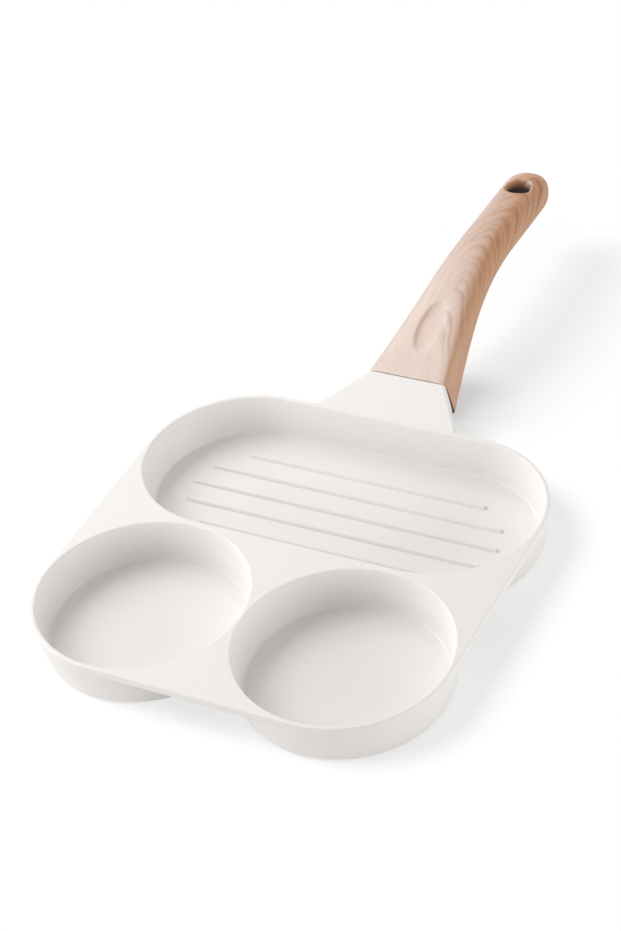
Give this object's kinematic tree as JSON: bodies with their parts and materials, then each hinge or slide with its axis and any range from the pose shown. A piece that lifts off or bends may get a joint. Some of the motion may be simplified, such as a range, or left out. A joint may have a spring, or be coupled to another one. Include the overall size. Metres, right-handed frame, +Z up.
{
  "type": "divided breakfast pan",
  "caption": "Shallow cast frying pan divided into round egg cups and a long ribbed grill well, with a flared neck and a wood-effect handle.",
  "frame": {"origin": "centre of the flat steel plate under the grill well, on its underside, where the pan stands on the hob", "axes": "+Z up, +Y along the handle away from the egg cups, +X to the right seen from the egg cups"},
  "size_m": [0.2084, 0.4084, 0.0526],
  "materials": {
    "cream_coating": "cast aluminium under a matte cream non-stick coating",
    "wood_effect": "moulded phenolic with a satin wood-effect film",
    "base_steel": "turned ferromagnetic steel",
    "fastener_steel": "plated steel"
  },
  "bodies": {
    "root": {"pan_body": "cream_coating", "handle_grip": "wood_effect", "induction_disc_left": "base_steel", "induction_disc_right": "base_steel", "induction_plate_grill": "base_steel", "flat_washer": "fastener_steel", "lock_washer": "fastener_steel", "handle_screw": "fastener_steel"}
  },
  "joints": []
}
